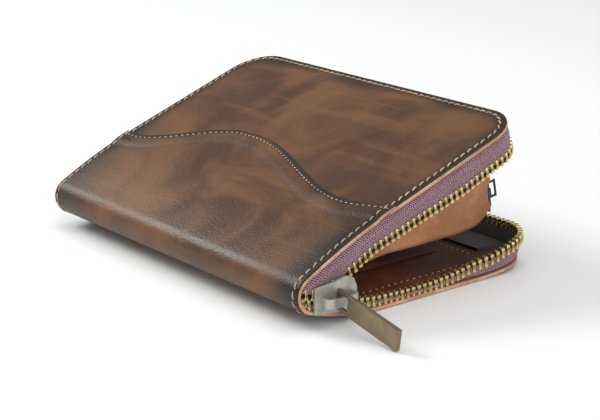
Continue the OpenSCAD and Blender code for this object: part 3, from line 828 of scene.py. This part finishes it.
plum_tape, tree, shader = finish_material("plum_tape", 0.75, Sheen_Weight=0.25)
weave_uv = node(tree, "ShaderNodeUVMap", uv_map="weave").outputs[0]
parts = node(tree, "ShaderNodeSeparateXYZ", {0: weave_uv})
ribbed = sums(tree, "PINGPONG", times(tree, parts.outputs[1], 100.0), 1.25)
yarn = speckle(tree, weave_uv, 60.0, 2.0)
chevron = sums(tree, "ADD", times(tree, parts.outputs[0], 100.0), times(tree, ribbed, 0.9))
wavering = sums(tree, "ADD", chevron, times(tree, yarn, 0.25))
twill = sums(tree, "SINE", times(tree, wavering, 2 * math.pi / 0.86))
cross = sums(tree, "SINE", times(tree, parts.outputs[1], 100 * 2 * math.pi / 0.6))
threads = sums(tree, "ADD", times(tree, twill, 0.36), times(tree, cross, 0.2))
fuzz = sums(tree, "SUBTRACT", speckle(tree, weave_uv, 170.0, 2.0), 0.5)
threads = sums(tree, "ADD", threads, times(tree, fuzz, 1.1))
colour = blend_colour(tree, fade(tree, threads, -0.35, 0.42), srgb(56, 20, 32), srgb(202, 154, 170))
washed = fade(tree, speckle(tree, weave_uv, 8.0, 3.0), 0.35, 0.65)
coat(tree, shader, overlaid(tree, colour, washed, 0.3, srgb(112, 72, 84)), threads, 0.9, 0.0004)


def lower_head(y):
    return looked_up(lower_row, y) + 0.8 * smooth((y - 66) / 12) * (1 - 0.6 * smooth((y - 84) / 10))


def outward_lean(y):
    """How far the lower row leans out over the leather, toward the opening side."""
    return 2.0 * smooth((y - 68) / 14)


def section_at(x, y, out, shape):
    """A tape's cross-section round the bottom cover, from (inset from the edge, height over the leather)."""
    base = inside_height(y)
    return [Vector((x + out[0] * (row_inset - inset), y + out[1] * (row_inset - inset), base + lift))
            for inset, lift in shape]


def lower_tape_places(x, y, out):
    """The lower tape: flange, the fold at the leather's edge, and the wall up to the teeth."""
    lean, wall = outward_lean(y), max(0.25, lower_head(y) - 0.5 - inside_height(y))
    shape = [(7.5, 0.12), (4.0, 0.12), (2.0, 0.15)]
    for t in [i / 8 for i in range(1, 9)]:
        leaning = row_inset - lean * t ** 1.5 - 0.45 * lean * (1 - t)
        shape.append((leaning - 0.35 * math.sin(math.pi * t) + 0.5 * (1 - t) ** 2, 0.15 + (wall - 0.15) * t))
    return section_at(x, y, out, shape)


def tape_from(name, sections, thick):
    grid, run = [], 0.0
    for k, section in enumerate(sections):
        if k:
            run += (section[-1] - sections[k - 1][-1]).length
        row, over = [], 0.0
        for j, p in enumerate(section):
            if j:
                over += (p - section[j - 1]).length
            row.append((p, (run, over)))
        grid.append(row)
    return cloth_sheet(name, grid, thick, plum_tape), run


lower_line = outline(row_inset, body_depth, 3.0, 8.0, 1.2)
sections = [lower_tape_places(x, y, out) for (x, y), out in lower_line]
lower_tape, run = tape_from("lower_zip_tape", sections, 0.45)
settle(lower_tape, "root", "zip_tape", "lower_tape")

# A strip of the lining cloth turns up inside the lower tape, nearly to the teeth.
sections = []
for (x, y), out in outline(row_inset, body_depth, 14, 14, 1.2):
    lean, rise = outward_lean(y), max(0.1, lower_head(y) - 0.9 - inside_height(y) - 1.5)
    shape = [(13.4, 0.95), (9, 0.95), (5.5, 0.95), (3.4, 0.98), (2.5, 1.2)]
    shape += [(row_inset + 0.8 - lean * t ** 1.5 + 0.4 * (1 - t) ** 2, 1.5 + rise * t)
              for t in [i / 5 for i in range(6)]]
    sections.append(section_at(x, y, out, shape))
grid = [[(p, (k * 1.2, j)) for j, p in enumerate(section)] for k, section in enumerate(sections)]
lining_facing = cloth_sheet("lining_facing", grid, 0.2, black_lining)
settle(lining_facing, "root", "lining")

near_hang = [(0, 10.3), (17.5, 10.3), (27, 8.9), (46, 9.6), (65, 10.4), (82, 9.7), (100, 9.8)]
upper_line = outline(row_inset, cover_depth, -4.0, 2.0, 1.2)
zip_flex = {"start": at(0, 0, 12.5), "end": at(0, 0, 21)}


def row_place(x, u, near, depth):
    """A place on the upper row, which meets the lower row where the near side enters the slider."""
    hang = looked_up(near_hang, u) if near else row_depth + cover_drop(u) * 0.9
    p = on_cover(x, u, depth - row_depth + hang)
    if near and u < 31:
        y = 3.2 + (u + 4) * 0.92
        low = Vector((x, y, looked_up(meshed_row, y) + (row_depth - depth)))
        p = low.lerp(p, smooth((u - 10) / 8))
    if not near and u < 20:
        p = p.lerp(on_cover(x, u, depth * 0.45 + cover_drop(u)), smooth((20 - u) / 16))
    return p


sections = []
for (x, u), out in upper_line:
    near = x > 0 and out[1] < 0.01
    top, n = skin_at(x, u)
    under = top - n * 1.75
    side_out = Vector((out[0], out[1] * math.cos(open_angle), out[1] * math.sin(open_angle)))
    foot = row_place(x, u, near, row_depth - 0.6)
    section = [under - side_out * (inset - row_inset) for inset in (7.0, 4.0, 2.2)]
    start = under - side_out * 0.15
    for i in range(11):
        t = i / 10
        swell = 0.55 * math.sin(math.pi * t) + 0.25 * math.sin(2 * math.pi * t)
        section.append(start.lerp(foot, t) + side_out * swell)
    sections.append(section)
upper_tape, run = tape_from("upper_zip_tape", sections, -0.45)
settle(upper_tape, "top_cover", "zip_tape", "upper_tape", "meshed_tape", flex=zip_flex)

# ---- Zip teeth -------------------------------------------------------------------------
# Antique brass teeth, stamped with two legs that grip the tape's edge and a dimpled head
# that locks between its neighbours. The last tooth of each row is a plain stop.


def worn_metal(name, base, bright, dark, roughness, hollow_shade=0.5, metal=1.0, rubbed=(0.12, 0.42)):
    finish, tree, shader = finish_material(name, roughness, Metallic=metal)
    place = object_place(tree)
    wear_and_shade = node(tree, "ShaderNodeAttribute", attribute_name="wear_and_shade").outputs["Fac"]
    cloud = fade(tree, speckle(tree, place, 260.0, 5.0, 0.65), 0.35, 0.65)
    fine = speckle(tree, place, 2200.0, 3.0, 0.6)
    colour = blend_colour(tree, cloud, base, dark)
    colour = blend_colour(tree, fade(tree, wear_and_shade, *rubbed), colour, bright)
    # Painted shade: the hollows darken toward near-black brown.
    colour = overlaid(tree, colour, fade(tree, wear_and_shade, -0.1, -0.4), hollow_shade, srgb(28, 24, 20))
    dull = sums(tree, "ADD", times(tree, cloud, 0.14), roughness - 0.07)
    tree.links.new(dull, shader.inputs["Roughness"])
    coat(tree, shader, colour, fine, 0.15, 0.0001)
    return finish


def mark_standout(mesh):
    """Stores how much each vertex stands out from its neighbours, for rubbed edges and for painted shade in hollows."""
    built = bmesh.new()
    built.from_mesh(mesh)
    values = []
    for v in built.verts:
        near = [e.other_vert(v).co for e in v.link_edges]
        reach = sum((c - v.co).length for c in near) / max(1, len(near))
        middle = sum(near, Vector()) / max(1, len(near))
        values.append((v.co - middle).dot(v.normal) / reach if reach > 1e-9 else 0.0)
    built.free()
    mesh.attributes.new("wear_and_shade", "FLOAT", "POINT").data.foreach_set("value", values)


brass = worn_metal("antique_brass", srgb(194, 168, 96), srgb(246, 228, 166), srgb(138, 112, 62), 0.3, 0.7, 0.95)


def rounded_ring(hx, hy, z, cut=0.3):
    c = min(hx, hy) * cut
    return [(hx, -hy + c, z), (hx, hy - c, z), (hx - c, hy, z), (-hx + c, hy, z), (-hx, hy - c, z), (-hx, -hy + c, z),
            (-hx + c, -hy, z), (hx - c, -hy, z)]


tooth = ringed("tooth", [rounded_ring(*r) for r in (
    (0.98, 0.42, -2.1), (1.12, 0.5, -1.95), (1.12, 0.5, -0.5), (0.98, 0.5, 0.1), (1.0, 0.66, 0.45), (1.02, 0.74, 0.9),
    (0.9, 0.64, 1.3), (0.5, 0.34, 1.42), (0.32, 0.22, 1.22))])
stop = ringed("stop", [rounded_ring(*r) for r in (
    (1.0, 0.7, -1.3), (1.2, 0.95, -1.1), (1.2, 0.95, 1.0), (1.0, 0.7, 1.25))])
pitch = 2.33


def tooth_row(name, path, body, node_name, flex=None, pattern=tooth, spacing=pitch, looseness=0.035, seed=7):
    row = row_of(name, path, pattern, spacing, brass, 0.0, looseness, seed)
    mark_standout(row.data)
    settle(row, body, "zip_teeth", node_name, flex=flex)


# Near-black yarn on the bead cord: painted shade for the gaps between the teeth, where the real cord is plum.
painted_shade_yarn = mottled("painted_shade_yarn", 0.85, 900.0, srgb(12, 8, 9), srgb(40, 24, 29), 3.0)


def bead_cord(name, path, body, flex=None, radius=0.55, lift=0.3, sides=8):
    """The cord along a tape's edge, which the teeth grip, coloured near-black as painted shade for the gaps between the
    teeth.
    """
    verts = []
    for k, (p, way) in enumerate(path):
        along = (path[min(k + 1, len(path) - 1)][0] - path[max(k - 1, 0)][0]).normalized()
        side = along.cross(way).normalized()
        over = side.cross(along)
        verts += [at(*(p + way * lift + (side * math.cos(a) + over * math.sin(a)) * radius))
                  for a in [2 * math.pi * i / sides for i in range(sides)]]
    mesh = bpy.data.meshes.new(name)
    mesh.from_pydata(verts, [], tube_faces(len(path), sides))
    closed_up(mesh)
    settle(new_piece(name, mesh, [painted_shade_yarn], 60), body, "zip_tape", flex=flex)


lower_path = [(Vector((x + out[0] * outward_lean(y), y + out[1] * outward_lean(y), lower_head(y))), Vector((0, 0, 1)))
              for (x, y), out in outline(row_inset, body_depth, 3.3, 14, 1.0)]
tooth_row("lower_teeth_row", lower_path, "root", "lower_teeth")
meshed_path = [(Vector((half_length - row_inset, y, looked_up(meshed_row, y))), Vector((0, 0, -1)))
               for y in [4.4 + i * 0.6 for i in range(18)]]
tooth_row("meshed_teeth_row", meshed_path, "root", "meshed_teeth")
upper_way = Vector((0, math.sin(open_angle), -math.cos(open_angle)))
upper_path = [(row_place(x, u, x > 0 and out[1] < 0.01, row_depth), upper_way)
              for (x, u), out in outline(row_inset, cover_depth, 15.6, 14, 1.0)]
tooth_row("upper_teeth_row", upper_path, "top_cover", "upper_teeth", zip_flex)
bead_cord("lower_bead_cord", lower_path, "root")
bead_cord("upper_bead_cord", upper_path, "top_cover", zip_flex)
for name, path, body in (("lower_stop", lower_path, "root"), ("upper_stop", upper_path, "top_cover")):
    end, way = path[-1]
    onward = (path[-1][0] - path[-2][0]).normalized()
    end = end + onward * 2.2
    tooth_row(name + "_piece", [(end, way), (end + onward * 0.5, way)], body, name,
              pattern=stop, spacing=1.0, looseness=0.0, seed=1)
for pattern_piece in (tooth, stop):
    bpy.data.objects.remove(pattern_piece)

# ---- Slider and puller -----------------------------------------------------------------
# A cast slider with an open bridge, plated dull pewter and rubbed to brass on its edges,
# and a flat brass-brown puller whose eye goes round the bridge.


def softened(name, source, bevel, finish, body, slot, segments=3):
    """A rounded copy of a CAD part: merged, cleaned, its edges bevelled, and how far each vertex stands out marked, for
    rubbed edges and painted shade in hollows.
    """
    built = bmesh.new()
    built.from_mesh(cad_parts[source].data)
    bmesh.ops.remove_doubles(built, verts=built.verts, dist=2e-6)
    bmesh.ops.dissolve_limit(built, angle_limit=math.radians(2), verts=built.verts, edges=built.edges)
    sharp = [e for e in built.edges if len(e.link_faces) == 2 and e.calc_face_angle() > math.radians(28)]
    bmesh.ops.bevel(built, geom=sharp, offset=bevel * 0.001, segments=segments, profile=0.6, affect="EDGES",
                    clamp_overlap=True)
    bmesh.ops.triangulate(built, faces=[f for f in built.faces if len(f.verts) > 4])
    bmesh.ops.recalc_face_normals(built, faces=built.faces)
    mesh = bpy.data.meshes.new(name)
    built.to_mesh(mesh)
    built.free()
    mark_standout(mesh)
    settle(new_piece(name, mesh, [finish], 35), body, slot, source)


pewter = worn_metal("rubbed_pewter", srgb(186, 187, 180), srgb(226, 202, 136), srgb(166, 166, 158), 0.4, 0.3, 0.65,
                    (0.05, 0.2))
bar_metal = worn_metal("puller_brass_brown", srgb(140, 122, 98), srgb(222, 180, 100), srgb(126, 110, 88), 0.34, 0.3,
                       0.7, (0.11, 0.3))
softened("slider_shell", "slider_body", 0.28, pewter, "slider", "slider_metal")
softened("slider_loop", "slider_bridge", 0.22, pewter, "slider", "slider_metal")
softened("puller_bar", "puller", 0.3, bar_metal, "puller", "puller_metal")

# ---- Coin pouch ------------------------------------------------------------------------
# A soft pouch of unlined light brown leather hangs between the covers from a fold near the
# spine. It has its own small zip on the opening side.
pouch_half = 62.0
pouch_lean = open_angle / 2
pouch_leather = soft_leather("pouch_leather", srgb(150, 98, 66), srgb(186, 132, 94), srgb(120, 76, 50), 1.0, 0.5)


def pouch_place(x, y, z):
    s, c = math.sin(pouch_lean), math.cos(pouch_lean)
    return Vector((x, 9 + y * c - z * s, 10 + y * s + z * c))


profile = [(10.0, 9.6), (12.5, 8.9), (20, 9.6), (30, 10.7), (40, 11.8), (49, 12.5), (60, 12.75), (70, 12.8), (78, 13.0),
           (83.6, 13.7), (87.2, 15.8), (89.6, 18.4), (90.6, 20.6), (89.9, 21.6), (89.3, 24.2), (89.3, 27.0),
           (89.8, 27.9), (90.3, 29.6), (88.6, 32.0), (84, 32.9), (76, 31.3), (64, 28.6), (50, 25.2), (36, 21.6),
           (22, 17.6), (14, 14.6), (10.6, 12.4)]


def smooth_loop(points, count):
    """A closed smooth curve through points, with evenly numbered places between them."""
    total, out = len(points), []
    for k in range(count):
        t = k / count * total
        i, f = int(t) % total, t - int(t)
        p0, p1, p2, p3 = (Vector(points[(i + o) % total]) for o in (-1, 0, 1, 2))
        square, cube = 2 * p0 - 5 * p1 + 4 * p2 - p3, 3 * p1 - p0 - 3 * p2 + p3
        out.append(0.5 * (2 * p1 + (p2 - p0) * f + square * f * f + cube * f ** 3))
    return out


loop = smooth_loop(profile, 162)
centre = Vector((52, 20.5))
round_end = 2.2
end_rings = [(-pouch_half, s, 0.0) for s in (0.04, 0.2, 0.4, 0.6, 0.75, 0.86)]
end_rings += [(-pouch_half + round_end * (1 - math.cos(a)), 1.0, round_end * (1 - math.sin(a)))
              for a in [math.pi / 2 * i / 7 for i in range(8)]]
straight = 2 * pouch_half - 2 * round_end
rings_at = end_rings + [(-pouch_half + round_end + straight * i / 60, 1.0, 0.0) for i in range(1, 60)]
rings_at += [(-x, s, d) for x, s, d in reversed(end_rings)]
count = len(loop)
verts = []
for x, shrink, inset in rings_at:
    for k, q in enumerate(loop):
        tangent = (loop[(k + 1) % count] - loop[k - 1]).normalized()
        inward = Vector((-tangent.y, tangent.x))
        p = q + inward * inset
        if shrink < 1:
            edge_in = q + inward * round_end
            p = Vector((centre.x + (edge_in.x - centre.x) * shrink, centre.y + (edge_in.y - centre.y) * shrink))
        # Wide and narrow dents all over, and a hollow in each end.
        dent = 0.9 * noise.noise(Vector((x * 0.04, p.x * 0.07, p.y * 0.05)))
        dent += 0.35 * noise.noise(Vector((x * 0.11, p.x * 0.16, p.y * 0.2)))
        sunk = 0.0
        if abs(x) >= pouch_half - 0.1 and shrink < 1:
            bowl = 0.9 * math.sin(math.pi * min(1, (1 - shrink) * 1.6))
            sunk = (bowl * (0.5 + noise.noise(Vector((3, p.x * 0.05, p.y * 0.12))))) * (1 if x > 0 else -1)
        # The underside sags between the ends, and the top is hollow in the middle.
        if p.y < 15:
            between = smooth((59.5 - abs(x)) / 7) * smooth((72 - p.x) / 30) * smooth((15 - p.y) / 2)
            p.y -= min(3.4, max(0.0, p.y - 7.4)) * between
        hollow = 2.6 * smooth((60 - abs(x)) / 10) * smooth((p.x - 30) / 30)
        p.y -= hollow * smooth((p.y - 27.9) / 3)
        verts.append(at(x - sunk, p.x, p.y) + Vector((0, 0, dent * 0.0006 * (1 if 14 < p.x < 84 else 0.3))))
mesh = bpy.data.meshes.new("coin_pouch_body")
mesh.from_pydata(verts, [], tube_faces(len(rings_at), count))
closed_up(mesh)
pouch = new_piece("coin_pouch_body", mesh, [pouch_leather], 60)
settle(pouch, "coin_pouch", "pouch_leather", "coin_lower_panel", "coin_upper_panel", "coin_end_panels")

# ---- Pouch zip -------------------------------------------------------------------------
# A finer version of the main zip: narrow plum tape, small brass teeth, and a small dark
# slider with a wire ring.
coin_tooth = ringed("coin_tooth", [rounded_ring(*r) for r in (
    (0.7, 0.38, -0.8), (0.8, 0.45, -0.7), (0.62, 0.3, 0.05), (0.7, 0.5, 0.35), (0.66, 0.5, 0.6), (0.5, 0.36, 0.78))])
for side, name in ((-1, "lower"), (1, "upper")):
    grid = []
    for i in range(60):
        x = -pouch_half + 1.2 + (2 * pouch_half - 2.4) * i / 59
        grid.append([(pouch_place(x, 81.4 + 0.5 * t, side * (6.2 - 2.6 * t)), (x + 62, 2.6 * t))
                     for t in [j / 4 for j in range(5)]])
    strip = cloth_sheet("coin_%s_zip_tape" % name, grid, 0.3 * side, plum_tape)
    settle(strip, "coin_pouch", "zip_tape", "coin_%s_tape" % name)
    shift = 0.0 if side < 0 else 1.0
    way = pouch_place(0, 0, -side) - pouch_place(0, 0, 0)
    path = [(pouch_place(-60 + shift + 119 * i / 40, 82.3, side * 3.2), way) for i in range(41)]
    tooth_row("coin_%s_teeth_row" % name, path, "coin_pouch", "coin_%s_teeth" % name,
              pattern=coin_tooth, spacing=2.0, looseness=0.03, seed=11)
dark_metal = worn_metal("dark_steel", srgb(74, 80, 88), srgb(150, 152, 156), srgb(52, 56, 62), 0.3)
softened("coin_slider_shell", "coin_slider", 0.22, dark_metal, "coin_slider", "coin_metal")
softened("coin_ring_wire", "coin_ring", 0.08, dark_metal, "coin_ring", "coin_metal", segments=2)
for pattern_piece in (coin_tooth, border_stitch, seam_stitch, awl_hole):
    bpy.data.objects.remove(pattern_piece)
